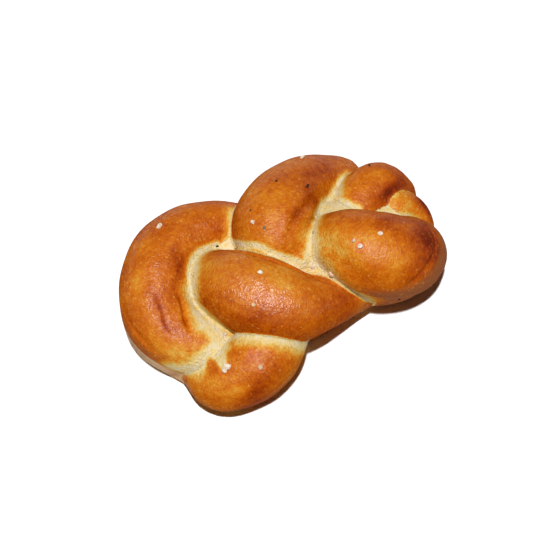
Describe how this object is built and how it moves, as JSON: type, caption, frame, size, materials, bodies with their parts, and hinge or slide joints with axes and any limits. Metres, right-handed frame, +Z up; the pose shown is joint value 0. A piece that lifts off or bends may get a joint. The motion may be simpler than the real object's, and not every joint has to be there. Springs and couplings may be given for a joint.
{
  "type": "braided sweet bun",
  "caption": "Small braided sweet bun: plump plaited lobes of glazed dough with pale seams, a flat sole, coarse sugar grains and a few dark crumbs on the crust.",
  "frame": {"origin": "middle of the bounding box at the flat sole that rests on the tray", "axes": "+X along the bun's length towards its tapered end, +Y across it, +Z up out of the crust"},
  "size_m": [0.1348, 0.0876, 0.0442],
  "materials": {
    "crust": "satin glazed crust, orange brown on the lobes and pale cream in the seams",
    "sugar": "coarse white sugar, slightly see-through",
    "crumb": "dark baked crumbs, almost black"
  },
  "bodies": {
    "root": {"bun": "crust"}
  },
  "joints": []
}
